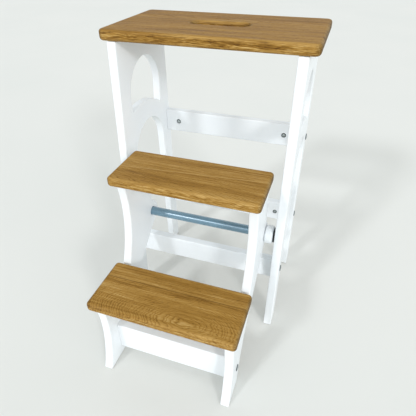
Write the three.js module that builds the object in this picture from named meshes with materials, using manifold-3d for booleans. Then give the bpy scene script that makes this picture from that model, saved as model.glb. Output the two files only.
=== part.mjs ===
// Step stool: a stool frame whose lower two steps are a block that swings on a cross rod.
// Millimetres, +Z up, +X to the right, the steps face -Y. The origin is on the floor, in the
// middle of the footprint. Inside this file, lengthways places (y) are counted from the middle
// of the seat, and the whole ladder is moved to its origin at the end.
import * as THREE from 'three';
import { mergeVertices } from 'three/addons/utils/BufferGeometryUtils.js';
import Module from 'manifold-3d';

const wasm = await Module();
wasm.setup();

// ---------------------------------------------------------------- driving dimensions
const BOARD = 18;             // side panels and rails
const TREAD_T = 20;           // seat and treads
const GAP = 0.3;              // between pieces that touch
const EDGE_R = 6;             // rounding of the oak edges
const PAST = 1;               // how far a cutter runs past the face it opens
const LEFT_RIGHT = [['left', -1], ['right', 1]];

const SEAT = { width: 400, front: -112, back: 112, top: 640, corner: 12 };
const SLOT = { length: 116, width: 32, y: 2 };
const MID = { width: 298, front: -237, back: -117, top: 409, corner: 8 };
const LOW = { width: 300, front: -373, back: -249, top: 206, corner: 8 };

const MAIN_IN = 165;          // inner faces of the stool's sides
const STEP_IN = 124;          // inner faces of the step block's sides

// Stool side: an A shape with an arch between its legs and a rounded window above it.
const SIDE = {
  frontTop: -111, frontFoot: -150, backTop: 101, backFoot: 113,
  archFoot: [-104, 76], archSpring: [-81, 62], archSpringZ: 361,
  windowY: -7, windowZ: 503, windowR: 68,
  windowFloor: [[-75, 471], [-25, 477.5], [57, 453]],
};

// Step side: both fronts are hollow arcs, each given by its two ends and a middle point.
const STEP = {
  upperFront: [[-219, 389], [-210, 325], [-244.3, 186]],
  lowerFront: [[-360, 186], [-352.5, 118], [-376.5, 0]],
  heel: [-310, 0], backBend: [-290, 80], backLength: 175, backTop: [-118, 389],
  lobeR: 25, lobeFrom: 80.5, lobeTo: -51.9,
};

const PIVOT = { y: -113, z: 252, rodR: 10, rodWall: 1.5, rodHalf: 176.5, runR: 10.1 };
const SPACER = { r: 20, from: STEP_IN + BOARD + GAP, length: 18.1, round: 5 };
const WASHER = { r: 16, length: 4 };

// Rails: the front face, the bottom, the height, and which face shows the barrel nuts.
const RAILS = {
  upper_back_rail: { front: 87, bottom: 364, height: 54, inside: MAIN_IN, nutFace: -1, boltZ: 390 },
  lower_back_rail: { front: 87, bottom: 143, height: 54, inside: MAIN_IN, nutFace: -1, boltZ: 167 },
  lower_front_rail: { front: -114, bottom: 126, height: 54, inside: MAIN_IN, nutFace: 1, boltZ: 153 },
  step_rail: { front: -327, bottom: 21, height: 73, inside: STEP_IN, nutFace: 1, boltZ: 56 },
};
const BOLT = {
  r: 3, length: 52, tipChamfer: 0.8, holeR: 3.4, tipRoom: 4,
  headR: 7, headT: 2.4, headRim: 1.1, crownR: 6.1, socketR: 2.3, socketDepth: 1.6,
};
const NUT = { r: 5, length: 14, inset: 0.5, fromEnd: 32, slot: 1.4, slotDepth: 1.2 };
const DOWEL = { r: 4, inTread: 12, inSide: 16, chamfer: 1 };
const SEAT_DOWELS_Y = [-80, 70];
const MID_DOWELS_Y = [-195, -138];
const LOW_DOWELS_Y = [-335, -272];

// How many straight pieces stand for a whole turn, or for one curve of an outline.
const FACETS = { pin: 12, dowel: 14, small: 16, spacer: 28, washer: 32, rod: 48, hex: 6 };
const CURVE = { board: 4, bevel: 3, stoolSide: 14, stepSide: 12, spacerEdge: 3 };

// ---------------------------------------------------------------- materials
const material = (color, roughness, metalness = 0) =>
  new THREE.MeshStandardMaterial({ color, roughness, metalness });
const OAK = () => material(0xa9824f, 0.5);
const WHITE = () => material(0xf2f4f4, 0.4);
const ROD_PAINT = () => material(0x7c96a8, 0.35, 0.3);
const STEEL = () => material(0x9a9c9e, 0.35, 0.9);
const BLACK = () => material(0x191a1b, 0.7);
const BEECH = () => material(0xcfa878, 0.6);

// ---------------------------------------------------------------- solids
function toManifold(geometry) {
  const bare = geometry.clone();
  bare.deleteAttribute('normal');
  bare.deleteAttribute('uv');
  const merged = mergeVertices(bare, 1e-4);
  return new wasm.Manifold(new wasm.Mesh({
    numProp: 3,
    vertProperties: new Float32Array(merged.attributes.position.array),
    triVerts: new Uint32Array(merged.index.array),
  }));
}

function cut(geometry, cutters) {
  let solid = toManifold(geometry);
  for (const cutter of cutters) solid = solid.subtract(toManifold(cutter));
  const mesh = solid.getMesh();
  const result = new THREE.BufferGeometry();
  result.setAttribute('position', new THREE.BufferAttribute(mesh.vertProperties, 3));
  result.setIndex(new THREE.BufferAttribute(mesh.triVerts, 1));
  result.computeVertexNormals();
  return result;
}

// A cylinder along x, y or z that runs from one value to another.
function rod(axis, radius, from, to, centre, segments = FACETS.small) {
  const geometry = new THREE.CylinderGeometry(radius, radius, to - from, segments);
  if (axis === 'x') geometry.rotateZ(Math.PI / 2);
  if (axis === 'z') geometry.rotateX(Math.PI / 2);
  const middle = (from + to) / 2;
  const [a, b] = centre;
  const place = { x: [middle, a, b], y: [a, middle, b], z: [a, b, middle] };
  return geometry.translate(...place[axis]);
}

// A turned solid whose profile lists [radius, x] pairs, turned about the x axis.
function turned(profile, segments) {
  const points = profile.map(([r, x]) => new THREE.Vector2(r, x));
  return new THREE.LatheGeometry(points, segments).rotateZ(-Math.PI / 2);
}

// Draws the arc from the path's current point through two more points.
function arcThrough(path, start, middle, end) {
  const [ax, ay] = start;
  const [bx, by] = middle;
  const [cx, cy] = end;
  const d = 2 * (ax * (by - cy) + bx * (cy - ay) + cx * (ay - by));
  const a2 = ax * ax + ay * ay;
  const b2 = bx * bx + by * by;
  const c2 = cx * cx + cy * cy;
  const x = (a2 * (by - cy) + b2 * (cy - ay) + c2 * (ay - by)) / d;
  const y = (a2 * (cx - bx) + b2 * (ax - cx) + c2 * (bx - ax)) / d;
  const radius = Math.hypot(ax - x, ay - y);
  const clockwise = (bx - ax) * (cy - ay) - (by - ay) * (cx - ax) < 0;
  path.absarc(x, y, radius, Math.atan2(ay - y, ax - x), Math.atan2(cy - y, cx - x), clockwise);
}

// ---------------------------------------------------------------- oak boards
// A level board with rounded corners and rounded edges; it lies between z 0 and TREAD_T.
function oakBoard({ width, front, back, corner }, hole) {
  const half = width / 2;
  const shape = new THREE.Shape();
  shape.moveTo(-half + corner, front);
  shape.lineTo(half - corner, front);
  shape.absarc(half - corner, front + corner, corner, -Math.PI / 2, 0);
  shape.absarc(half - corner, back - corner, corner, 0, Math.PI / 2);
  shape.absarc(-half + corner, back - corner, corner, Math.PI / 2, Math.PI);
  shape.absarc(-half + corner, front + corner, corner, Math.PI, 1.5 * Math.PI);
  if (hole) shape.holes.push(hole);
  return new THREE.ExtrudeGeometry(shape, {
    depth: TREAD_T - 2 * EDGE_R,
    bevelEnabled: true, bevelThickness: EDGE_R, bevelSize: EDGE_R, bevelOffset: -EDGE_R,
    bevelSegments: CURVE.bevel, curveSegments: CURVE.board,
  }).translate(0, 0, EDGE_R);
}

function handSlot() {
  const r = SLOT.width / 2;
  const run = SLOT.length / 2 - r;
  const path = new THREE.Path();
  path.moveTo(-run, SLOT.y - r);
  path.absarc(-run, SLOT.y, r, -Math.PI / 2, Math.PI / 2, true);
  path.absarc(run, SLOT.y, r, Math.PI / 2, -Math.PI / 2, true);
  return path;
}

// Blind dowel holes in a board's underside, over the middle of each side panel.
function dowelHoles(sideX, places, from, to) {
  const holes = [];
  for (const x of [-sideX, sideX]) {
    for (const y of places) holes.push(rod('z', DOWEL.r + GAP, from, to, [x, y], FACETS.pin));
  }
  return holes;
}

// ---------------------------------------------------------------- side panels
// Turns an outline drawn in (y, z) into a panel whose inner face is at x 0.
function panel(shape, curveSegments) {
  const upright = new THREE.Matrix4().makeBasis(
    new THREE.Vector3(0, 1, 0), new THREE.Vector3(0, 0, 1), new THREE.Vector3(1, 0, 0));
  return new THREE.ExtrudeGeometry(shape, { depth: BOARD, bevelEnabled: false, curveSegments })
    .applyMatrix4(upright);
}

function stoolSideShape() {
  const top = SEAT.top - TREAD_T - GAP;
  const [springFront, springBack] = SIDE.archSpring;
  const archR = (springBack - springFront) / 2;
  const shape = new THREE.Shape();
  shape.moveTo(SIDE.frontTop, top);
  shape.lineTo(SIDE.frontFoot, 0);
  shape.lineTo(SIDE.archFoot[0], 0);
  shape.lineTo(springFront, SIDE.archSpringZ);
  shape.absarc(springFront + archR, SIDE.archSpringZ, archR, Math.PI, 0, true);
  shape.lineTo(SIDE.archFoot[1], 0);
  shape.lineTo(SIDE.backFoot, 0);
  shape.lineTo(SIDE.backTop, top);
  shape.closePath();

  const [floorFront, floorMiddle, floorBack] = SIDE.windowFloor;
  const hole = new THREE.Path();
  hole.moveTo(...floorBack);
  hole.lineTo(SIDE.windowY + SIDE.windowR, SIDE.windowZ);
  hole.absarc(SIDE.windowY, SIDE.windowZ, SIDE.windowR, 0, Math.PI);
  hole.lineTo(...floorFront);
  arcThrough(hole, floorFront, floorMiddle, floorBack);
  shape.holes.push(hole);
  return shape;
}

function stepSideShape() {
  const radians = THREE.MathUtils.degToRad;
  const under = ([y, z]) => [y, z - GAP];
  const [topFront, topMiddle, ledgeBack] = STEP.upperFront;
  const [ledgeFront, shin, toe] = STEP.lowerFront;
  const lobeEnd = radians(STEP.lobeTo);
  const tangentY = PIVOT.y + STEP.lobeR * Math.cos(lobeEnd);
  const tangentZ = PIVOT.z + STEP.lobeR * Math.sin(lobeEnd);
  const backY = tangentY + STEP.backLength * Math.sin(lobeEnd);
  const backZ = tangentZ - STEP.backLength * Math.cos(lobeEnd);

  const shape = new THREE.Shape();
  shape.moveTo(...under(topFront));
  arcThrough(shape, under(topFront), topMiddle, under(ledgeBack));
  shape.lineTo(...under(ledgeFront));
  arcThrough(shape, under(ledgeFront), shin, toe);
  shape.lineTo(...STEP.heel);
  shape.quadraticCurveTo(...STEP.backBend, backY, backZ);
  shape.lineTo(tangentY, tangentZ);
  shape.absarc(PIVOT.y, PIVOT.z, STEP.lobeR, lobeEnd, radians(STEP.lobeFrom));
  shape.lineTo(...under(STEP.backTop));
  shape.closePath();
  return shape;
}

// ---------------------------------------------------------------- rails and their fasteners
const railCentreY = (rail) => rail.front + BOARD / 2;
const nutX = (rail) => rail.inside - NUT.fromEnd;

function boltHole(rail) {
  return rod('x', BOLT.holeR, -PAST, BOARD + PAST, [railCentreY(rail), rail.boltZ]);
}

function railGeometry(rail) {
  const length = 2 * (rail.inside - GAP);
  const y = railCentreY(rail);
  const board = new THREE.BoxGeometry(length, BOARD, rail.height)
    .translate(0, y, rail.bottom + rail.height / 2);
  const cutters = [];
  const holeBottom = rail.inside + BOARD - BOLT.length - BOLT.tipRoom;
  for (const side of [-1, 1]) {
    const ends = [side * holeBottom, side * (rail.inside + PAST)].sort((a, b) => a - b);
    cutters.push(rod('x', BOLT.holeR, ...ends, [y, rail.boltZ]));
    const face = y + rail.nutFace * BOARD / 2;
    const bottom = face - rail.nutFace * (NUT.length + NUT.inset + GAP);
    const span = [bottom, face + rail.nutFace].sort((a, b) => a - b);
    cutters.push(rod('y', NUT.r + GAP, ...span, [side * nutX(rail), rail.boltZ]));
  }
  return cut(board, cutters);
}

// A barrel nut lies across the rail: a cross hole for the bolt and a slot in the end that shows.
function nutGeometry(rail) {
  const y = railCentreY(rail);
  const face = y + rail.nutFace * (BOARD / 2 - NUT.inset);
  const far = face - rail.nutFace * NUT.length;
  const barrel = rod('y', NUT.r, Math.min(face, far), Math.max(face, far), [0, 0]);
  const cross = rod('x', BOLT.r + GAP, -2 * NUT.r, 2 * NUT.r, [y, 0], FACETS.pin);
  const slot = new THREE.BoxGeometry(3 * NUT.r, 2 * NUT.slotDepth, NUT.slot).translate(0, face, 0);
  return cut(barrel, [cross, slot]);
}

// The bolt points along -x from x 0, the face its head lies on.
function boltGeometry() {
  const { r, length, tipChamfer, headR, headRim, crownR, socketR } = BOLT;
  const crown = GAP + BOLT.headT;
  const body = turned([
    [0, -length], [r - tipChamfer, -length], [r, -length + tipChamfer], [r, GAP],
    [headR, GAP], [headR, GAP + headRim], [crownR, crown], [0, crown]], FACETS.small);
  const socket = rod('x', socketR, crown - BOLT.socketDepth, crown + PAST, [0, 0], FACETS.hex);
  return cut(body, [socket]);
}

// ---------------------------------------------------------------- pivot
function rodGeometry() {
  const inner = PIVOT.rodR - PIVOT.rodWall;
  const half = PIVOT.rodHalf;
  return turned([
    [inner, -half], [PIVOT.rodR, -half], [PIVOT.rodR, half], [inner, half], [inner, -half],
  ], FACETS.rod);
}

function spacerGeometry() {
  const { r, length, round } = SPACER;
  const bore = PIVOT.rodR + GAP;
  const quarter = (start, x) => Array.from({ length: CURVE.spacerEdge + 1 }, (_, step) => {
    const angle = start + (step / CURVE.spacerEdge) * (Math.PI / 2);
    return [r - round + round * Math.cos(angle), x + round * Math.sin(angle)];
  });
  return turned([
    [bore, 0], ...quarter(-Math.PI / 2, round), ...quarter(0, length - round), [bore, length], [bore, 0],
  ], FACETS.spacer);
}

function washerGeometry() {
  const bore = PIVOT.rodR + GAP;
  return turned([
    [bore, 0], [WASHER.r, 0], [WASHER.r, WASHER.length], [bore, WASHER.length], [bore, 0],
  ], FACETS.washer);
}

// ---------------------------------------------------------------- dowels
function dowelGeometry() {
  const low = -DOWEL.inSide + 2 * GAP;
  const high = DOWEL.inTread - 2 * GAP;
  const { r, chamfer } = DOWEL;
  const points = [[0, low], [r - chamfer, low], [r, low + chamfer], [r, high - chamfer],
    [r - chamfer, high], [0, high]].map(([radius, z]) => new THREE.Vector2(radius, z));
  return new THREE.LatheGeometry(points, FACETS.dowel).rotateX(Math.PI / 2);
}

// ---------------------------------------------------------------- the assembly
const stepLadder = new THREE.Group();
const stool = new THREE.Group();
const stepBlock = new THREE.Group();
stepLadder.add(stool, stepBlock);

function add(group, name, geometry, finish, position = [0, 0, 0], turnZ = 0) {
  const mesh = new THREE.Mesh(geometry, finish);
  mesh.name = name;
  mesh.position.set(...position);
  mesh.rotation.z = turnZ;
  group.add(mesh);
}

function addBoard(group, name, board, sideX, dowelsY, hole) {
  const holes = dowelHoles(sideX, dowelsY, -PAST, DOWEL.inTread);
  const underside = board.top - TREAD_T;
  add(group, name, cut(oakBoard(board, hole), holes), OAK(), [0, 0, underside]);
  for (const [side, sign] of LEFT_RIGHT) {
    dowelsY.forEach((y, index) => {
      const dowel = `${name}_dowel_${side}_${index === 0 ? 'front' : 'back'}`;
      add(group, dowel, dowelGeometry(), BEECH(), [sign * sideX, y, underside]);
    });
  }
}

// Adds a left and a right panel of one outline. cuttersFor(sign) gives each one's holes, with x
// counted from the panel's left face.
function addSides(group, name, shape, segments, inside, cuttersFor) {
  for (const [side, sign] of LEFT_RIGHT) {
    const geometry = cut(panel(shape, segments), cuttersFor(sign));
    add(group, `${name}_${side}`, geometry, WHITE(), [sign > 0 ? inside : -inside - BOARD, 0, 0]);
  }
}

function addRail(group, name) {
  const rail = RAILS[name];
  add(group, name, railGeometry(rail), WHITE());
  for (const [side, sign] of LEFT_RIGHT) {
    const turn = sign > 0 ? 0 : Math.PI;
    const nutAt = [sign * nutX(rail), 0, rail.boltZ];
    const boltAt = [sign * (rail.inside + BOARD), railCentreY(rail), rail.boltZ];
    add(group, `${name}_nut_${side}`, nutGeometry(rail), STEEL(), nutAt);
    add(group, `${name}_bolt_${side}`, boltGeometry(), STEEL(), boltAt, turn);
  }
}

const mainMid = MAIN_IN + BOARD / 2;
const stepMid = STEP_IN + BOARD / 2;
const stoolRails = ['upper_back_rail', 'lower_back_rail', 'lower_front_rail'];
const sideDowelHoles = (places, underside) => places.map((y) => {
  const ends = [underside - DOWEL.inSide, underside + PAST];
  return rod('z', DOWEL.r + GAP, ...ends, [BOARD / 2, y], FACETS.pin);
});

addBoard(stool, 'seat', SEAT, mainMid, SEAT_DOWELS_Y, handSlot());
addSides(stool, 'stool_side', stoolSideShape(), CURVE.stoolSide, MAIN_IN, (sign) => {
  const depth = PIVOT.rodHalf - MAIN_IN + GAP;
  const socket = sign > 0 ? [-PAST, depth] : [BOARD - depth, BOARD + PAST];
  return [
    ...stoolRails.map((name) => boltHole(RAILS[name])),
    ...sideDowelHoles(SEAT_DOWELS_Y, SEAT.top - TREAD_T),
    rod('x', PIVOT.rodR + GAP, ...socket, [PIVOT.y, PIVOT.z], FACETS.rod),
  ];
});
stoolRails.forEach((name) => addRail(stool, name));

addBoard(stepBlock, 'middle_tread', MID, stepMid, MID_DOWELS_Y);
addBoard(stepBlock, 'lower_tread', LOW, stepMid, LOW_DOWELS_Y);
addSides(stepBlock, 'step_side', stepSideShape(), CURVE.stepSide, STEP_IN, () => [
  boltHole(RAILS.step_rail),
  ...sideDowelHoles(MID_DOWELS_Y, MID.top - TREAD_T),
  ...sideDowelHoles(LOW_DOWELS_Y, LOW.top - TREAD_T),
  rod('x', PIVOT.runR, -PAST, BOARD + PAST, [PIVOT.y, PIVOT.z], FACETS.rod),
]);
addRail(stepBlock, 'step_rail');

add(stool, 'pivot_rod', rodGeometry(), ROD_PAINT(), [0, PIVOT.y, PIVOT.z]);
for (const [side, sign] of LEFT_RIGHT) {
  const turn = sign > 0 ? 0 : Math.PI;
  const spacerAt = [sign * SPACER.from, PIVOT.y, PIVOT.z];
  const washerAt = [sign * (SPACER.from + SPACER.length + GAP), PIVOT.y, PIVOT.z];
  add(stepBlock, `pivot_spacer_${side}`, spacerGeometry(), WHITE(), spacerAt, turn);
  add(stool, `pivot_washer_${side}`, washerGeometry(), BLACK(), washerAt, turn);
}

const toeY = STEP.lowerFront[2][0];
stepLadder.position.y = -(toeY + SIDE.backFoot) / 2;
stepLadder.updateMatrixWorld(true);

export default stepLadder;
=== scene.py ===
# Step ladder: a white stool with an oak seat and, in front, a swinging block with two oak steps.
# Metres, +Z up, +X to the right, the steps face -Y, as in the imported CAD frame.
import math
from collections import namedtuple

import bmesh
import bpy
from mathutils import Matrix, Vector
from mathutils.geometry import tessellate_polygon


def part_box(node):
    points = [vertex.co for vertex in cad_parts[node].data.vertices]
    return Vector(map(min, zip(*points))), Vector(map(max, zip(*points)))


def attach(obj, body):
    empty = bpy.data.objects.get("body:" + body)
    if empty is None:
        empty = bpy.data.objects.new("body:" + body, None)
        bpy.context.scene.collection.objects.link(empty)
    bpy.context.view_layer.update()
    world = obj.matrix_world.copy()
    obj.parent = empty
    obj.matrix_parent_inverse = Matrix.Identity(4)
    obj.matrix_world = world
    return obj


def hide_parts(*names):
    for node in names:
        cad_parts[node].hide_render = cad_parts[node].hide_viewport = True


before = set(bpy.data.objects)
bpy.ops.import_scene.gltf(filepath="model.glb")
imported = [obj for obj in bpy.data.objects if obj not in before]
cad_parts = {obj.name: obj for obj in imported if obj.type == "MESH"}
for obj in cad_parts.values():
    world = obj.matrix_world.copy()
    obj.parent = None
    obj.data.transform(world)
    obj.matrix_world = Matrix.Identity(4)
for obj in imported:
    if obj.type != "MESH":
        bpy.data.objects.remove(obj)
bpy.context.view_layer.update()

MM = 0.001
STOOL = "stool"
BLOCK = "step_block"
SIDES = (("left", -1), ("right", 1))

# Wooden parts
OAK_ROUND = 6 * MM            # rounding of the oak boards' edges
PANEL_ROUND = 2.4 * MM        # rounding of the painted panels' edges
PANEL_CORNER = 3.2 * MM       # rounding of the panels' outline corners
RAIL_ROUND = 3 * MM
RAIL_END_ROUND = 0.3 * MM
SEAT_CORNER = 12 * MM
TREAD_CORNER = 8 * MM
SLOT_LENGTH = 116 * MM
SLOT_WIDTH = 32 * MM
SLOT_BACK = 2 * MM            # from the seat's middle line
SMALL_LOOP = 40 * MM          # hole outlines shorter than this are hidden by a fastener
SHARP_TURN = math.radians(25)      # outline corners that turn less than this stay as they are
LONGEST_REACH = 0.9           # the most of an outline's edge that one rounded corner takes up
FLAT_WITHIN_MM = 0.02         # how far a point of a CAD panel's flat face may be off its plane
KEY_DIGITS = 2                # CAD points are matched to a hundredth of a millimetre
CREASE = math.radians(38)     # edges that turn more than this stay crisp

# Fasteners and pivot
NUT_POCKET_GAP = 0.9 * MM
NUT_CHAMFER = 0.6 * MM
NUT_SLOT = 1.3 * MM
NUT_SLOT_DEPTH = 0.9 * MM
NUT_SLOT_CORNER = 0.2 * MM
NUT_SLOT_EDGE = 0.1 * MM
POCKET_OVERRUN = 2 * MM       # how far a pocket's cutter stands out of the rail
NUT_BRIGHT = 3.1 * MM         # radius of the end's bare middle, inside its rim of painted shade
BOLT_SHANK = 3 * MM
BOLT_TIP = 0.8 * MM
BOLT_HEAD = 2.4 * MM          # thickness of the head
BOLT_RIM = 0.7 * MM           # its straight part, under the dome
BOLT_EASE = 0.3 * MM
DOME_ANGLE = 54               # degrees that the head's dome turns through
DOME_STEPS = 6
DOME_SHADE_STEP = 4           # the painted shade on the dome ends here
SOCKET_ACROSS = 4.6 * MM
SOCKET_DEPTH = 1.6 * MM
ROD_WALL = 1.5 * MM
ROD_EASE = 0.4 * MM
PIVOT_BORE = 10.3 * MM
SPACER_ROUND = 5 * MM
WASHER_CHAMFER = 0.5 * MM

# How many pieces round shapes are divided into
BOARD_CORNER_STEPS = 10
BOARD_EDGE_STEPS = 8
RAIL_CORNER_STEPS = 6
RAIL_EDGE_STEPS = 2
HAND_SLOT_STEPS = 20
NUT_FACETS = 40
BOLT_FACETS = 48
WASHER_FACETS = 64
ROD_FACETS = 72


# ---------------------------------------------------------------- outlines in a plane
def signed_area(loop):
    """Positive for a loop that runs anticlockwise."""
    return sum(a.x * b.y - b.x * a.y for a, b in zip(loop, loop[1:] + loop[:1])) / 2


def arc(centre, radius, start, end, steps):
    """Points on an arc, both ends included; the angles are in degrees."""
    turns = [math.radians(start + (end - start) * i / steps) for i in range(steps + 1)]
    return [centre + Vector((math.cos(t), math.sin(t))) * radius for t in turns]


def rounded_rectangle(low, high, radius, steps):
    corners = [(high.x, low.y), (high.x, high.y), (low.x, high.y), (low.x, low.y)]
    middle = (low + high) / 2
    loop = []
    for quarter, corner in enumerate(corners):
        inward = Vector((math.copysign(radius, middle.x - corner[0]),
                         math.copysign(radius, middle.y - corner[1])))
        start = 90 * (quarter - 1)
        loop += arc(Vector(corner) + inward, radius, start, start + 90, steps)
    return loop


def oblong(middle, length, width, steps):
    run = Vector(((length - width) / 2, 0))
    right = arc(middle + run, width / 2, -90, 90, steps)
    return right + arc(middle - run, width / 2, 90, 270, steps)


def eased(loop, radius, steps=4):
    """The same loop with its sharp outward corners rounded. The loop runs anticlockwise."""
    result = []
    for before, corner, after in zip(loop[-1:] + loop[:-1], loop, loop[1:] + loop[:1]):
        back = (before - corner).normalized()
        on = (after - corner).normalized()
        turn = math.pi - back.angle(on)
        outward = back.x * on.y - back.y * on.x < 0
        reach = radius * math.tan(turn / 2)
        room = LONGEST_REACH * min((before - corner).length, (after - corner).length)
        if turn < SHARP_TURN or not outward or reach > room:
            result.append(corner)
            continue
        centre = corner + (back + on).normalized() * radius / math.cos(turn / 2)
        first = (corner + back * reach - centre).normalized()
        last = (corner + on * reach - centre).normalized()
        for i in range(steps + 1):
            result.append(centre + first.slerp(last, i / steps) * radius)
    return result


def inset(loop, distance):
    """The loop moved to its left, which is into the material, by a distance."""
    result = []
    for before, point, after in zip(loop[-1:] + loop[:-1], loop, loop[1:] + loop[:1]):
        arriving = (point - before).normalized()
        leaving = (after - point).normalized()
        normals = Vector((-arriving.y, arriving.x)), Vector((-leaving.y, leaving.x))
        mitre = (normals[0] + normals[1]) / (1 + normals[0].dot(normals[1]))
        result.append(point + mitre * distance)
    return result


def cad_outlines(node, x, shortest):
    """The outlines of a CAD panel's flat face at x, as (y, z) loops, with the outer one first."""
    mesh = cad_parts[node].data
    key = {v.index: tuple(round(c / MM, KEY_DIGITS) for c in v.co) for v in mesh.vertices}
    rim = set()
    for polygon in mesh.polygons:
        corners = [key[i] for i in polygon.vertices]
        if any(abs(c[0] - x / MM) > FLAT_WITHIN_MM for c in corners):
            continue
        for a, b in zip(corners, corners[1:] + corners[:1]):
            if (b, a) in rim:
                rim.remove((b, a))
            else:
                rim.add((a, b))
    after = dict(sorted(rim))
    loops = []
    while after:
        start = next(iter(after))
        loop = [start]
        while after.get(loop[-1], start) != start:
            loop.append(after.pop(loop[-1]))
        after.pop(loop[-1], None)
        points = [Vector((p[1], p[2])) * MM for p in loop]
        around = sum((b - a).length for a, b in zip(points, points[1:] + points[:1]))
        if around > shortest:
            loops.append(points)
    loops.sort(key=lambda points: -abs(signed_area(points)))
    return [points if (signed_area(points) > 0) == (i == 0) else points[::-1]
            for i, points in enumerate(loops)]


# ---------------------------------------------------------------- meshes
def finished(name, mesh, material, body, replaced):
    for polygon in mesh.polygons:
        polygon.use_smooth = True
    mesh.set_sharp_from_angle(angle=CREASE)
    piece = bpy.data.objects.new(name, mesh)
    bpy.context.scene.collection.objects.link(piece)
    mesh.materials.append(material)
    piece.modifiers.new("even_shading", "WEIGHTED_NORMAL").keep_sharp = True
    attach(piece, body)
    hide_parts(replaced)


def slab(loops, depth, edge, place, steps=5):
    """A board as a mesh: the first loop is its outline, the others go through it. place turns
    (u, v, w) into a point, where w runs from 0 to depth. Both faces' edges are rounded. Two float
    attributes help the materials: edge_wear_and_highlight is 1 on the rounded edges and 0 on the
    flats, and end_grain_and_shade is 1 where the board's side faces along u. The oak paints the
    edges pale, partly as rubbed wear and partly as a painted highlight, and its end grain darker,
    partly for the oil it drinks and partly as painted shade; the white paint's edges are only worn."""
    quarter = [math.pi / 2 * i / steps for i in range(steps + 1)]
    lower = [(edge * (1 - math.sin(t)), edge * (1 - math.cos(t)), math.sin(2 * t))
             for t in quarter]
    profile = lower + [(i, depth - w, edge_amount) for i, w, edge_amount in reversed(lower)]
    built = bmesh.new()
    edge_layer = built.verts.layers.float.new("edge_wear_and_highlight")
    end_layer = built.verts.layers.float.new("end_grain_and_shade")
    rims = []
    for loop in loops:
        rings = []
        facing = [(moved - point).normalized()
                  for point, moved in zip(loop, inset(loop, edge))]
        for distance, w, edge_amount in profile:
            ring = [built.verts.new(place(p.x, p.y, w)) for p in inset(loop, distance)]
            for vertex, inward in zip(ring, facing):
                vertex[edge_layer] = edge_amount
                vertex[end_layer] = abs(inward.x) * (1 - distance / edge)
            rings.append(ring)
        for ring, above in zip(rings, rings[1:]):
            for i, vertex in enumerate(ring):
                j = (i + 1) % len(ring)
                built.faces.new((vertex, ring[j], above[j], above[i]))
        rims.append((rings[0], rings[-1], inset(loop, edge)))
    flat = [[p.to_3d() for p in outline] for _, _, outline in rims]
    lows = [v for low, _, _ in rims for v in low]
    highs = [v for _, high, _ in rims for v in high]
    for a, b, c in tessellate_polygon(flat):
        built.faces.new((highs[a], highs[b], highs[c]))
        built.faces.new((lows[c], lows[b], lows[a]))
    bmesh.ops.recalc_face_normals(built, faces=built.faces)
    mesh = bpy.data.meshes.new("slab")
    built.to_mesh(mesh)
    built.free()
    return mesh


# One ring of a turned mesh; grime goes into the float attribute of that name, which the steel shows
# as painted shade.
Ring = namedtuple("Ring", "radius height hexagonal grime", defaults=(False, 0.0))


def turned(profile, place, segments):
    """A turned mesh from a list of rings; place turns (u, v, height) into a point. A radius of 0
    closes the mesh; otherwise the last ring joins the first."""
    built = bmesh.new()
    shade_layer = built.verts.layers.float.new("grime")
    rings = []
    for radius, height, hexagonal, grime in profile:
        ring = []
        for i in range(segments if radius > 0 else 1):
            angle = 2 * math.pi * i / segments
            reach = radius
            if hexagonal:
                reach = radius / math.cos((angle + math.pi / 6) % (math.pi / 3) - math.pi / 6)
            point = place(reach * math.cos(angle), reach * math.sin(angle), height)
            vertex = built.verts.new(point)
            vertex[shade_layer] = grime
            ring.append(vertex)
        rings.append(ring)
    closed = len(rings[0]) == 1
    for ring, above in zip(rings, rings[1:] if closed else rings[1:] + rings[:1]):
        for i in range(segments):
            j = (i + 1) % segments
            corners = [ring[i % len(ring)], ring[j % len(ring)],
                       above[j % len(above)], above[i % len(above)]]
            built.faces.new(list(dict.fromkeys(corners)))
    bmesh.ops.recalc_face_normals(built, faces=built.faces)
    mesh = bpy.data.meshes.new("turned")
    built.to_mesh(mesh)
    built.free()
    return mesh


def rounded_steps(centre_radius, centre_height, radius, start, end, steps=8):
    """Rings round a quarter or so of a circle; the angles are in degrees."""
    points = arc(Vector((centre_radius, centre_height)), radius, start, end, steps)
    return [Ring(p.x, p.y) for p in points]


def carve(mesh, cutters):
    """The mesh less the cutter meshes."""
    scene = bpy.context.scene
    body = bpy.data.objects.new("carved", mesh)
    scene.collection.objects.link(body)
    tools = []
    for cutter in cutters:
        tool = bpy.data.objects.new("cutter", cutter)
        scene.collection.objects.link(tool)
        tools.append(tool)
        modifier = body.modifiers.new("cut", "BOOLEAN")
        modifier.object = tool
        modifier.solver = "EXACT"
    bpy.context.view_layer.update()
    graph = bpy.context.evaluated_depsgraph_get()
    result = bpy.data.meshes.new_from_object(body.evaluated_get(graph), depsgraph=graph)
    for thing in [body, *tools]:
        bpy.data.objects.remove(thing)
    return result


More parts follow.
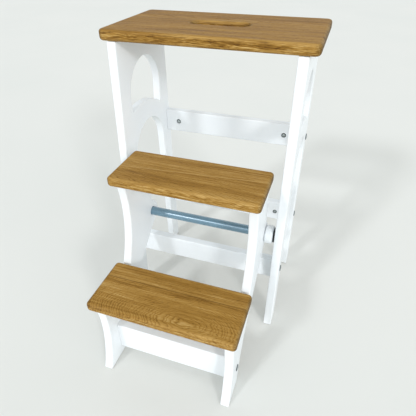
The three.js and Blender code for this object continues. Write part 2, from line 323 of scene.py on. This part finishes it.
# ---------------------------------------------------------------- node helpers
class Nodes:
    """A short way to write a material's node tree."""

    def __init__(self, name):
        self.material = bpy.data.materials.new(name)
        self.material.use_nodes = True
        self.tree = self.material.node_tree
        self.shader = self.tree.nodes["Principled BSDF"]

    def node(self, kind, inputs=(), **settings):
        made = self.tree.nodes.new("ShaderNode" + kind)
        for key, value in settings.items():
            setattr(made, key, value)
        for key, value in dict(inputs).items():
            self.feed(made.inputs[key], value)
        return made

    def feed(self, socket, value):
        if isinstance(value, bpy.types.NodeSocket):
            self.tree.links.new(value, socket)
        else:
            socket.default_value = value

    def math(self, operation, *values, clamp=False):
        made = self.node("Math", operation=operation, use_clamp=clamp)
        for socket, value in zip(made.inputs, values):
            self.feed(socket, value)
        return made.outputs[0]

    def place(self):
        return self.node("TexCoord").outputs["Object"]

    def stretched(self, vector, scale):
        mapping = self.node("Mapping", {"Vector": vector, "Scale": scale})
        return mapping.outputs[0]

    def noise(self, vector, scale, detail=3.0, roughness=0.55, distortion=0.0):
        made = self.node("TexNoise", {"Vector": vector, "Scale": scale, "Detail": detail,
                                      "Roughness": roughness, "Distortion": distortion})
        return made.outputs["Fac"]

    def ramp(self, factor, stops):
        """stops lists (position, colour); a colour is a grey number or three numbers."""
        made = self.node("ValToRGB", {"Fac": factor})
        elements = made.color_ramp.elements
        while len(elements) < len(stops):
            elements.new(0.5)
        for element, (position, colour) in zip(elements, stops):
            element.position = position
            grey = isinstance(colour, (int, float))
            element.color = (*([colour] * 3 if grey else colour), 1)
        return made.outputs["Color"]

    def mix(self, factor, a, b, blend="MIX"):
        made = self.node("Mix", data_type="RGBA", blend_type=blend)
        for socket, value in zip([s for s in made.inputs if s.type == "RGBA"], (a, b)):
            self.feed(socket, value if isinstance(value, bpy.types.NodeSocket) else (*value, 1))
        self.feed(made.inputs["Factor"], factor)
        return next(s for s in made.outputs if s.type == "RGBA")

    def attribute(self, name):
        return self.node("Attribute", attribute_name=name).outputs["Fac"]

    def bump(self, heights):
        """heights lists (height, strength, distance); the bumps are added up."""
        normal = None
        for height, strength, distance in heights:
            made = self.node("Bump", {"Height": height, "Strength": strength, "Distance": distance})
            if normal is not None:
                self.feed(made.inputs["Normal"], normal)
            normal = made.outputs[0]
        self.feed(self.shader.inputs["Normal"], normal)

    def finish(self, **sockets):
        for key, value in sockets.items():
            self.feed(self.shader.inputs[key.replace("_", " ")], value)
        return self.material


# ---------------------------------------------------------------- materials
OAK_DARK = (0.100, 0.040, 0.005)
OAK_MIDDLE = (0.262, 0.131, 0.020)
OAK_LIGHT = (0.382, 0.214, 0.048)
OAK_PALE = (0.560, 0.372, 0.140)
OAK_PORE = (0.070, 0.028, 0.004)
OAK_END_GRAIN_AND_SHADE = (0.42, 0.43, 0.45)   # multiplies the colour: darker end grain, and painted shade
OAK_SHADES = [(0.0, OAK_DARK), (0.36, OAK_MIDDLE), (0.66, OAK_LIGHT), (1.0, OAK_PALE)]

# Noise cells per metre along x, y and z: few along the grain, many across it
GRAIN = {
    "wobble": (7, 20, 28), "fine_wobble": (30, 110, 110), "clear": (11, 50, 50),
    "uneven": (8, 75, 75), "fibre": (40, 1000, 1000), "streak": (7, 280, 280),
    "patch": (4, 34, 34), "dash": (130, 1150, 1150), "figure": (34, 230, 290),
}
FINE_WOBBLE = 0.7             # the fine wobble's share of a stave's wobble
YEAR_CELLS = 0.45             # noise cells per ring, which make some years grow more
YEAR_SPREAD = 2.4             # in rings

# Each ring: a dark porous line of spring wood, then denser wood that pales and darkens again.
RING_BAND = [(0.0, 0.25), (0.09, 0.0), (0.26, 0.52), (0.50, 0.86), (0.80, 1.0), (0.97, 0.55)]
RING_PORES = [(0.0, 1.0), (0.18, 1.0), (0.34, 0.22), (0.90, 0.15), (1.0, 1.0)]
RING_CLEAR = [(0.34, 0.08), (0.66, 1.0)]
PORE_DASHES = [(0.54, 0.0), (0.64, 1.0)]

# How light the wood is, from 0 (OAK_DARK) to 1 (OAK_PALE), and what moves it
DEPTH = 0.54
BAND_MIDDLE = 0.72
BAND_SPREAD = 0.38
STREAK_SPREAD = 1.05
FIBRE_SPREAD = 0.65
UNEVEN_SPREAD = 0.45
PATCH_SPREAD = 0.62
HEART_DEPTH = -0.24
HEART_WANDER = 0.03           # metres for each unit of wobble
FIGURE_SPREAD = 2.1
FIGURE_LEVEL = -1.02
SAWN_FROM = 1.5 * MM          # the sawn edge's figure starts this far under the board's top
SAWN_FADE = 2.5 * MM          # and takes this long to come in

PORE_STRENGTH = 0.55
GLUE_STRENGTH = 0.6
GLUE_LINE = 1.8 * MM          # half the width of a glue line, with its soft edge


def ring_phase(m, parts, wobble, fine_wobble, stave):
    """How many growth rings a point is from the log's heart, for one stave of a board. The heart
    runs along x under the board. Its tilt makes arches, swerve turns the grain in the board's
    plane, and a closing above 0 makes long ovals of the rings, round the stave's middle."""
    x, y, z = parts
    along = m.math("SUBTRACT", x, stave["x"])
    up = m.math("ADD", z, m.math("MULTIPLY_ADD", along, stave["tilt"], -stave["z"]))
    across = m.math("ADD", y, m.math("MULTIPLY_ADD", along, stave["swerve"], -stave["y"]))
    ends = m.math("MULTIPLY", along, stave["closing"])
    squares = m.math("MULTIPLY", up, up)
    for length in (across, ends):
        squares = m.math("MULTIPLY_ADD", length, length, squares)
    radius = m.math("SQRT", squares)
    radius = m.math("MULTIPLY_ADD", wobble, stave["wobble"], radius)
    radius = m.math("MULTIPLY_ADD", fine_wobble, stave["wobble"] * FINE_WOBBLE, radius)
    phase = m.math("DIVIDE", radius, stave["ring"])
    years = m.node("CombineXYZ", {"X": phase})
    uneven_years = m.noise(years.outputs[0], YEAR_CELLS, 1.0)
    return m.math("MULTIPLY_ADD", uneven_years, YEAR_SPREAD, phase)


def oak(node, staves, joints, glue, heart=None, slant=0.0):
    """Oiled oak for one board, glued up from staves whose grain runs along x. joints are the y of
    the glue lines, from front to back, glue is their colour, and staves says where each stave was
    cut from its log. heart is the (y, width) of a dark streak along the grain, if there is one, and
    slant turns the glue lines away from x."""
    m = Nodes("oak_of_the_" + node)
    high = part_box(node)[1]
    place = m.place()
    x, y, z = m.node("SeparateXYZ", {"Vector": place}).outputs

    def grain(kind, *settings):
        return m.noise(m.stretched(place, GRAIN[kind]), 1.0, *settings)

    wobble = m.math("SUBTRACT", grain("wobble", 2.0), 0.5)
    fine_wobble = m.math("SUBTRACT", grain("fine_wobble", 2.0), 0.5)

    across = m.math("MULTIPLY_ADD", x, -slant, y)
    phase = ring_phase(m, (x, y, z), wobble, fine_wobble, staves[0])
    tone = staves[0]["tone"]
    for joint, before, stave in zip(joints, staves, staves[1:]):
        beyond = m.math("GREATER_THAN", across, joint)
        other = ring_phase(m, (x, y, z), wobble, fine_wobble, stave)
        phase = m.node("Mix", {"Factor": beyond, "A": phase, "B": other}).outputs[0]
        tone = m.math("MULTIPLY_ADD", beyond, stave["tone"] - before["tone"], tone)

    ring = m.math("FRACT", phase)
    band = m.ramp(ring, RING_BAND)
    clear = m.ramp(grain("clear", 2.0), RING_CLEAR)
    uneven = grain("uneven", 3.0)
    fibre = grain("fibre", 3.0, 0.65)
    streak = grain("streak", 4.0, 0.7)
    patch = grain("patch", 2.0)

    # Pores: short dark dashes along the grain, crowded in the spring wood; dots on the end grain.
    dashes = m.ramp(grain("dash", 1.0, 0.4), PORE_DASHES)
    pores = m.math("MULTIPLY", dashes, m.ramp(ring, RING_PORES))

    banding = m.math("MULTIPLY", m.math("SUBTRACT", band, BAND_MIDDLE), clear)
    depth = m.math("MULTIPLY_ADD", banding, BAND_SPREAD, DEPTH)
    for noise, spread in ((streak, STREAK_SPREAD), (fibre, FIBRE_SPREAD),
                          (uneven, UNEVEN_SPREAD), (patch, PATCH_SPREAD)):
        depth = m.math("MULTIPLY_ADD", m.math("SUBTRACT", noise, 0.5), spread, depth)
    depth = m.math("ADD", depth, tone)
    if heart:
        middle, width = heart
        off = m.math("MULTIPLY_ADD", wobble, HEART_WANDER, m.math("SUBTRACT", y, middle))
        near = m.math("DIVIDE", m.math("ABSOLUTE", off), width)
        near = m.math("SUBTRACT", 1.0, near, clamp=True)
        depth = m.math("MULTIPLY_ADD", near, HEART_DEPTH, depth)

    # The sawn edges cut the fibres at a slant, which shows as a wavy light and dark figure.
    edge = m.math("DIVIDE", m.math("SUBTRACT", high.z - SAWN_FROM, z), SAWN_FADE, clamp=True)
    figure = grain("figure", 3.0, 0.62, 1.4)
    sawn = m.math("MULTIPLY", edge, m.math("MULTIPLY_ADD", figure, FIGURE_SPREAD, FIGURE_LEVEL))
    depth = m.math("ADD", depth, sawn)
    colour = m.ramp(depth, OAK_SHADES)
    colour = m.mix(m.math("MULTIPLY", pores, PORE_STRENGTH), colour, OAK_PORE)

    # The glue lines; the end grain, darker for the oil it drinks and as painted shade; and the
    # rounded edges, painted pale as rubbed wear and as a painted highlight.
    for joint in joints:
        near = m.math("ABSOLUTE", m.math("SUBTRACT", across, joint))
        line = m.math("SUBTRACT", 1.0, m.math("DIVIDE", near, GLUE_LINE), clamp=True)
        colour = m.mix(m.math("MULTIPLY", line, GLUE_STRENGTH), colour, glue)
    # The end faces are multiplied darker: the oil the end grain drinks, and painted shade.
    colour = m.mix(m.attribute("end_grain_and_shade"), colour, OAK_END_GRAIN_AND_SHADE, "MULTIPLY")
    patchy = m.math("MULTIPLY_ADD", uneven, 0.8, -0.25)
    edge_mix = m.math("MULTIPLY", m.attribute("edge_wear_and_highlight"), patchy, clamp=True)
    colour = m.mix(edge_mix, colour, OAK_PALE)

    gloss = m.math("MULTIPLY_ADD", band, -0.08, 0.58)
    gloss = m.math("MULTIPLY_ADD", m.math("SUBTRACT", uneven, 0.5), 0.18, gloss)
    gloss = m.math("MULTIPLY_ADD", pores, 0.2, gloss)
    m.bump([(pores, 0.35, -0.0004), (fibre, 0.16, 0.0003), (band, 0.12, 0.0003)])
    return m.finish(Base_Color=colour, Roughness=gloss, Specular_IOR_Level=0.14)


WHITE_COOL = (0.820, 0.857, 0.882)
WHITE_PALE = (0.848, 0.875, 0.892)
WHITE_SPECK = (0.58, 0.56, 0.51)
WHITE_WORN = (0.72, 0.70, 0.66)
ROD_DEEP = (0.130, 0.250, 0.340)
ROD_CLEAR = (0.160, 0.290, 0.385)
ROD_RUBBED = (0.30, 0.41, 0.48)
ZINC_DULL = (0.42, 0.47, 0.48)
ZINC_BRIGHT = (0.60, 0.64, 0.64)
# nearly black, painted on the steel as shade in its hollows
PAINTED_SHADE_BLACK = (0.030, 0.048, 0.052)
RUBBER_BLACK = (0.016, 0.017, 0.018)
RUBBER_DUST = (0.075, 0.075, 0.072)
BEECH_DARK = (0.52, 0.33, 0.17)
BEECH_PALE = (0.70, 0.49, 0.29)
BEECH_RAY = (0.34, 0.19, 0.09)
FLOOR_PALE = (0.74, 0.735, 0.70)
FLOOR_CLOUD = (0.68, 0.69, 0.66)


def white_paint():
    """Satin white enamel, rolled on, a little worn and yellowed on its edges."""
    m = Nodes("satin_white_paint")
    place = m.place()
    stipple = m.noise(place, 900.0, 2.0)
    sag = m.noise(place, 38.0, 2.0)
    cloud = m.noise(place, 9.0, 3.0)
    speck = m.ramp(m.noise(place, 420.0, 1.0, 0.3), [(0.70, 0.0), (0.76, 1.0)])
    colour = m.mix(m.ramp(cloud, [(0.3, 0.0), (0.7, 1.0)]), WHITE_COOL, WHITE_PALE)
    colour = m.mix(m.math("MULTIPLY", speck, 0.10), colour, WHITE_SPECK)
    edge_amount = m.ramp(m.noise(place, 60.0, 4.0), [(0.45, 0.0), (0.75, 0.30)])
    edge_mix = m.math("MULTIPLY", m.attribute("edge_wear_and_highlight"), edge_amount)
    colour = m.mix(edge_mix, colour, WHITE_WORN)
    gloss = m.math("MULTIPLY_ADD", m.math("SUBTRACT", cloud, 0.5), 0.16, 0.36)
    m.bump([(stipple, 0.07, 0.0003), (sag, 0.10, 0.0008)])
    return m.finish(Base_Color=colour, Roughness=gloss, Coat_Weight=0.15, Coat_Roughness=0.25)


def rod_paint():
    """Blue-grey powder coat, with rub marks round the bar."""
    m = Nodes("blue_grey_rod_paint")
    place = m.place()
    peel = m.noise(place, 1100.0, 2.0)
    cloud = m.noise(place, 40.0, 3.0)
    rubbed = m.noise(m.stretched(place, (1600, 25, 25)), 1.0, 3.0, 0.6)
    marks = m.ramp(rubbed, [(0.60, 0.0), (0.72, 1.0)])
    colour = m.mix(cloud, ROD_DEEP, ROD_CLEAR)
    colour = m.mix(m.math("MULTIPLY", marks, 0.30), colour, ROD_RUBBED)
    gloss = m.math("MULTIPLY_ADD", marks, 0.14, 0.33)
    m.bump([(peel, 0.16, 0.0003), (marks, 0.06, -0.0002)])
    return m.finish(Base_Color=colour, Roughness=gloss, Metallic=0.15,
                    Coat_Weight=1.0, Coat_Roughness=0.24)


def steel():
    """Zinc-plated steel with turning marks and a faint bloom. Round its rims and in its sockets it
    is painted nearly black, as painted shade.
    """
    m = Nodes("zinc_plated_steel")
    place = m.place()
    grain = m.noise(m.stretched(place, (700, 2600, 2600)), 1.0, 2.0, 0.6)
    bloom = m.noise(place, 260.0, 3.0)
    colour = m.mix(bloom, ZINC_DULL, ZINC_BRIGHT)
    # Painted shade: where the turned rings mark it, the steel goes nearly black, rougher and less
    # metallic.
    cover = m.math("MULTIPLY_ADD", bloom, 0.3, 0.80)
    grime = m.math("MULTIPLY", m.attribute("grime"), cover, clamp=True)
    colour = m.mix(grime, colour, PAINTED_SHADE_BLACK)
    gloss = m.math("MULTIPLY_ADD", grime, 0.3, m.math("MULTIPLY_ADD", grain, 0.22, 0.24))
    metal = m.math("MULTIPLY_ADD", grime, -0.6, 0.95)
    m.bump([(grain, 0.20, 0.0001)])
    return m.finish(Base_Color=colour, Roughness=gloss, Metallic=metal)


def rubber():
    """Black moulded rubber with dust in its grain."""
    m = Nodes("black_rubber")
    place = m.place()
    grain = m.noise(place, 1500.0, 2.0)
    dust = m.ramp(m.noise(place, 130.0, 4.0), [(0.45, 0.0), (0.80, 1.0)])
    colour = m.mix(m.math("MULTIPLY", dust, 0.25), RUBBER_BLACK, RUBBER_DUST)
    gloss = m.math("MULTIPLY_ADD", dust, 0.2, 0.55)
    m.bump([(grain, 0.3, 0.0002)])
    return m.finish(Base_Color=colour, Roughness=gloss)


def beech():
    """Bare beech dowels with the small brown flecks of the wood's rays."""
    m = Nodes("bare_beech")
    place = m.place()
    grain = m.noise(m.stretched(place, (900, 900, 60)), 1.0, 3.0)
    rays = m.noise(m.stretched(place, (1500, 1500, 400)), 1.0, 1.0)
    fleck = m.ramp(rays, [(0.58, 0.0), (0.66, 1.0)])
    colour = m.mix(grain, BEECH_DARK, BEECH_PALE)
    colour = m.mix(m.math("MULTIPLY", fleck, 0.5), colour, BEECH_RAY)
    gloss = m.math("MULTIPLY_ADD", grain, 0.15, 0.52)
    m.bump([(grain, 0.25, 0.0002)])
    return m.finish(Base_Color=colour, Roughness=gloss)


WHITE = white_paint()
ROD_PAINT = rod_paint()
STEEL = steel()
RUBBER = rubber()
BEECH = beech()


# ---------------------------------------------------------------- oak boards
def oak_board(node, body, corner, material, slot=False):
    low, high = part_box(node)
    loops = [rounded_rectangle(low.xy, high.xy, corner, BOARD_CORNER_STEPS)]
    if slot:
        middle = Vector(((low.x + high.x) / 2, (low.y + high.y) / 2 + SLOT_BACK))
        loops.append(oblong(middle, SLOT_LENGTH, SLOT_WIDTH, HAND_SLOT_STEPS)[::-1])
    mesh = slab(loops, high.z - low.z, OAK_ROUND, lambda u, v, w: (u, v, low.z + w),
                steps=BOARD_EDGE_STEPS)
    finished(f"{node}_board", mesh, material, body, node)


def stave(node, x, back, under, ring, tilt=0.0, swerve=0.0, closing=0.0, wobble=3 * MM, tone=0.0):
    """Where a stave of a board was cut from its log: a point of the heart's line, its slopes, and
    the ring width. back is a share of the board's depth, from its front edge, and under is metres
    below its top."""
    y, z = back_from(node, back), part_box(node)[1].z - under
    return dict(x=x, y=y, z=z, ring=ring, tilt=tilt, swerve=swerve, closing=closing,
                wobble=wobble, tone=tone)


def back_from(node, share):
    """The y that lies a share of the board's depth back from its front edge."""
    low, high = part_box(node)
    return low.y + share * (high.y - low.y)


seat_oak = oak(
    "seat",
    [
        stave("seat", -0.10, -0.10, 0.055, 2.9 * MM, tilt=0.05, wobble=5 * MM, tone=-0.13),
        stave("seat", 0.20, 0.75, 0.080, 2.3 * MM, tilt=-0.04, tone=-0.12),
        stave("seat", -0.10, 1.30, 0.090, 2.6 * MM, tilt=0.02, tone=-0.20),
    ],
    [back_from("seat", 0.38), back_from("seat", 0.72)],
    OAK_MIDDLE,
)
middle_oak = oak(
    "middle_tread",
    [
        stave("middle_tread", -0.02, -0.12, 0.038, 2.6 * MM, tilt=0.10, swerve=0.17,
              wobble=5 * MM, tone=-0.01),
        stave("middle_tread", -0.20, 1.50, 0.100, 2.2 * MM, tilt=0.02, tone=0.06),
    ],
    [back_from("middle_tread", 0.525)],
    OAK_PALE,
    slant=0.087,
)
lower_oak = oak(
    "lower_tread",
    [
        stave("lower_tread", 0.048, 0.14, 0.022, 2.3 * MM, closing=0.45, wobble=8 * MM),
        stave("lower_tread", -0.05, 1.60, 0.110, 2.2 * MM, tilt=0.03),
    ],
    [back_from("lower_tread", 0.66)],
    OAK_PORE,
    heart=(back_from("lower_tread", 0.61), 7 * MM),
)
oak_board("seat", STOOL, SEAT_CORNER, seat_oak, slot=True)
oak_board("middle_tread", BLOCK, TREAD_CORNER, middle_oak)
oak_board("lower_tread", BLOCK, TREAD_CORNER, lower_oak)


# ---------------------------------------------------------------- painted panels and rails
def side_panel(node, body, sign):
    low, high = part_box(node)
    outer_x = high.x if sign > 0 else low.x
    loops = cad_outlines(node, outer_x, SMALL_LOOP)
    loops[0] = eased(loops[0], PANEL_CORNER)
    mesh = slab(loops, high.x - low.x, PANEL_ROUND, lambda u, v, w: (low.x + w, u, v))
    finished(f"{node}_panel", mesh, WHITE, body, node)


def nut_pocket(nut, face_y, sign):
    """A cutter for the round pocket that a barrel nut sits in; sign points out of the rail."""
    low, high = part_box(nut)
    radius = (high.x - low.x) / 2 + NUT_POCKET_GAP
    middle = (low + high) / 2
    inner = (low.y if sign > 0 else high.y) - sign * NUT_POCKET_GAP / 2
    past_face = face_y + sign * POCKET_OVERRUN
    profile = [Ring(0, inner), Ring(radius, inner), Ring(radius, past_face), Ring(0, past_face)]
    return turned(profile, lambda u, v, w: (middle.x + u, w, middle.z + v), NUT_FACETS)


def rail(node, body):
    low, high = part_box(node)
    outline = rounded_rectangle(low.yz, high.yz, RAIL_ROUND, RAIL_CORNER_STEPS)
    mesh = slab([outline], high.x - low.x, RAIL_END_ROUND, lambda u, v, w: (low.x + w, u, v),
                steps=RAIL_EDGE_STEPS)
    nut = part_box(f"{node}_nut_right")
    sign = 1 if (nut[0].y + nut[1].y) > (low.y + high.y) else -1
    face_y = high.y if sign > 0 else low.y
    pockets = [nut_pocket(f"{node}_nut_{side}", face_y, sign) for side, _ in SIDES]
    finished(f"{node}_board", carve(mesh, pockets), WHITE, body, node)
    for side, outward in SIDES:
        barrel_nut(f"{node}_nut_{side}", body, sign)
        bolt(f"{node}_bolt_{side}", body, outward)


# ---------------------------------------------------------------- fasteners
def barrel_nut(node, body, sign):
    """A turned steel barrel with a screwdriver slot in the end that shows. The rim of that end is
    painted dark, as shade in the pocket round it."""
    low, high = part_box(node)
    middle = (low + high) / 2
    radius = (high.x - low.x) / 2
    length = high.y - low.y
    start = low.y if sign > 0 else high.y
    profile = [Ring(0, 0), Ring(radius - NUT_CHAMFER, 0), Ring(radius, NUT_CHAMFER),
               Ring(radius, length / 2), Ring(radius, length - NUT_CHAMFER, grime=1),
               Ring(radius - NUT_CHAMFER, length, grime=1),
               Ring(NUT_BRIGHT + NUT_CHAMFER, length, grime=1), Ring(NUT_BRIGHT, length),
               Ring(0, length)]
    barrel = turned(profile, lambda u, v, w: (middle.x + u, start + sign * w, middle.z + v),
                    NUT_FACETS)
    end = start + sign * length
    half = Vector((2 * radius, NUT_SLOT_DEPTH, NUT_SLOT / 2))
    corners = [Vector((middle.x, end)) - half.xy, Vector((middle.x, end)) + half.xy]
    slot_mesh = slab([rounded_rectangle(*corners, NUT_SLOT_CORNER, 2)], NUT_SLOT, NUT_SLOT_EDGE,
                     lambda u, v, w: (u, v, middle.z - half.z + w), steps=1)
    finished(node + "_barrel", carve(barrel, [slot_mesh]), STEEL, body, node)


def bolt(node, body, outward):
    """A button-head bolt with a hexagon socket."""
    low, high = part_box(node)
    middle = (low + high) / 2
    head_radius = (high.z - low.z) / 2
    tip = low.x if outward > 0 else high.x
    length = high.x - low.x
    head_under = length - BOLT_HEAD
    # Painted shade on the head's underside, the foot of its dome and its socket.
    dome = []
    for step in range(DOME_STEPS + 1):
        up = math.radians(DOME_ANGLE * step / DOME_STEPS)
        height = head_under + BOLT_RIM + (BOLT_HEAD - BOLT_RIM) * math.sin(up)
        dome.append(Ring(head_radius * math.cos(up), height, grime=1 - step / DOME_SHADE_STEP))
    socket = SOCKET_ACROSS / 2
    profile = [Ring(0, 0), Ring(BOLT_SHANK - BOLT_TIP, 0), Ring(BOLT_SHANK, BOLT_TIP),
               Ring(BOLT_SHANK, head_under), Ring(head_radius - BOLT_EASE, head_under, grime=1),
               Ring(head_radius, head_under + BOLT_EASE, grime=1), *dome,
               Ring(socket + BOLT_EASE, length), Ring(socket, length - BOLT_EASE, True, 0.5),
               Ring(socket, length - SOCKET_DEPTH, True, 1),
               Ring(0, length - SOCKET_DEPTH - BOLT_EASE, grime=1)]
    mesh = turned(profile, lambda u, v, w: (tip + outward * w, middle.y + u, middle.z + v),
                  BOLT_FACETS)
    finished(node + "_turned", mesh, STEEL, body, node)


for side, sign in SIDES:
    side_panel(f"stool_side_{side}", STOOL, sign)
    side_panel(f"step_side_{side}", BLOCK, sign)
for rail_node in ("upper_back_rail", "lower_back_rail", "lower_front_rail"):
    rail(rail_node, STOOL)
rail("step_rail", BLOCK)


# ---------------------------------------------------------------- pivot
def pivot_tube():
    low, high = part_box("pivot_rod")
    middle = (low + high) / 2
    outer = (high.z - low.z) / 2
    inner = outer - ROD_WALL
    profile = [Ring(inner, low.x), Ring(outer - ROD_EASE, low.x), Ring(outer, low.x + ROD_EASE),
               Ring(outer, high.x - ROD_EASE), Ring(outer - ROD_EASE, high.x),
               Ring(inner, high.x)]
    mesh = turned(profile, lambda u, v, w: (w, middle.y + u, middle.z + v), ROD_FACETS)
    finished("pivot_rod_tube", mesh, ROD_PAINT, STOOL, "pivot_rod")


def beside(node, sign):
    """Places a turned mesh on a node's own axis; height counts outwards from its inner face."""
    low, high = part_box(node)
    start = low.x if sign > 0 else high.x
    middle = (low + high) / 2
    return lambda u, v, w: (start + sign * w, middle.y + u, middle.z + v)


def pivot_rings(side, sign):
    """The white spacer on the step block's side and the thin rubber washer beside it."""
    spacer = f"pivot_spacer_{side}"
    low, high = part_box(spacer)
    hub = (high.z - low.z) / 2 - SPACER_ROUND
    length = high.x - low.x
    rings = [Ring(PIVOT_BORE, 0), *rounded_steps(hub, SPACER_ROUND, SPACER_ROUND, -90, 0),
             *rounded_steps(hub, length - SPACER_ROUND, SPACER_ROUND, 0, 90),
             Ring(PIVOT_BORE, length)]
    mesh = turned(rings, beside(spacer, sign), ROD_FACETS)
    finished(spacer + "_turned", mesh, WHITE, BLOCK, spacer)

    washer = f"pivot_washer_{side}"
    low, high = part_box(washer)
    outer = (high.z - low.z) / 2
    inner = outer - WASHER_CHAMFER
    length = high.x - low.x
    rings = [Ring(PIVOT_BORE, 0), Ring(inner, 0), Ring(outer, WASHER_CHAMFER),
             Ring(outer, length - WASHER_CHAMFER), Ring(inner, length), Ring(PIVOT_BORE, length)]
    mesh = turned(rings, beside(washer, sign), WASHER_FACETS)
    finished(washer + "_turned", mesh, RUBBER, STOOL, washer)


pivot_tube()
for side, sign in SIDES:
    pivot_rings(side, sign)

# The dowels stay as the CAD has them.
for name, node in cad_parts.items():
    if "_dowel_" in name:
        node.data.materials.clear()
        node.data.materials.append(BEECH)


# ---------------------------------------------------------------- floor, light and camera
FLOOR_REACH = 9.0             # metres from the middle to each side
FLOOR_DROP = 0.5 * MM         # keeps the floor off the feet's soles
ROOM_LIGHT = (0.95, 0.99, 1.0)
ROOM_STRENGTH = 0.86

CAMERA_AT = Vector((0.2344, -0.6286, 0.7856))
CAMERA_TURN = math.radians(18.96)      # to the left of +Y
CAMERA_DOWN = math.radians(35.93)
CAMERA_ROLL = math.radians(-0.49)
CAMERA_LENS = 33.39                    # mm, like the sensor's width
CAMERA_SENSOR = 36.0
CAMERA_NEAR = 0.01


def pale_floor():
    """A plain pale floor, faintly cloudy."""
    m = Nodes("pale_floor")
    cloud = m.noise(m.place(), 1.3, 2.0)
    colour = m.mix(cloud, FLOOR_PALE, FLOOR_CLOUD)
    return m.finish(Base_Color=colour, Roughness=0.55, Specular_IOR_Level=0.2)


def floor():
    built = bmesh.new()
    bmesh.ops.create_grid(built, x_segments=2, y_segments=2, size=FLOOR_REACH)
    mesh = bpy.data.meshes.new("floor")
    built.to_mesh(mesh)
    built.free()
    plane = bpy.data.objects.new("floor", mesh)
    plane.location.z = -FLOOR_DROP
    bpy.context.scene.collection.objects.link(plane)
    mesh.materials.append(pale_floor())


def sun(name, azimuth, elevation, strength, spread, colour):
    """Even light from one side; azimuth 0 comes from -Y and 90 from -X. The angles, with the
    spread that softens the shadows, are in degrees."""
    light = bpy.data.lights.new(name, "SUN")
    light.energy = strength
    light.angle = math.radians(spread)
    light.color = colour
    lamp = bpy.data.objects.new(name, light)
    lamp.rotation_euler = (math.radians(90 - elevation), 0, math.radians(-azimuth))
    bpy.context.scene.collection.objects.link(lamp)


def studio():
    sun("window_left", 24, 34, 0.94, 7, (0.93, 0.96, 1.0))
    sun("window_right", -42, 27, 0.98, 10, (0.98, 0.985, 1.0))
    sun("room_right", -62, 9, 0.62, 60, (0.97, 0.985, 1.0))
    world = bpy.data.worlds.new("pale_room")
    world.use_nodes = True
    background = world.node_tree.nodes["Background"]
    background.inputs["Color"].default_value = (*ROOM_LIGHT, 1)
    background.inputs["Strength"].default_value = ROOM_STRENGTH
    bpy.context.scene.world = world
    bpy.context.scene.view_settings.view_transform = "Standard"


def camera():
    data = bpy.data.cameras.new("camera")
    data.lens = CAMERA_LENS
    data.sensor_width = CAMERA_SENSOR
    data.clip_start = CAMERA_NEAR
    eye = bpy.data.objects.new("camera", data)
    turn = Matrix.Rotation(CAMERA_TURN, 4, "Z")
    tip = Matrix.Rotation(math.pi / 2 - CAMERA_DOWN, 4, "X")
    roll = Matrix.Rotation(CAMERA_ROLL, 4, "Z")
    eye.matrix_world = Matrix.Translation(CAMERA_AT) @ turn @ tip @ roll
    bpy.context.scene.collection.objects.link(eye)
    bpy.context.scene.camera = eye


floor()
studio()
camera()

bpy.context.view_layer.update()
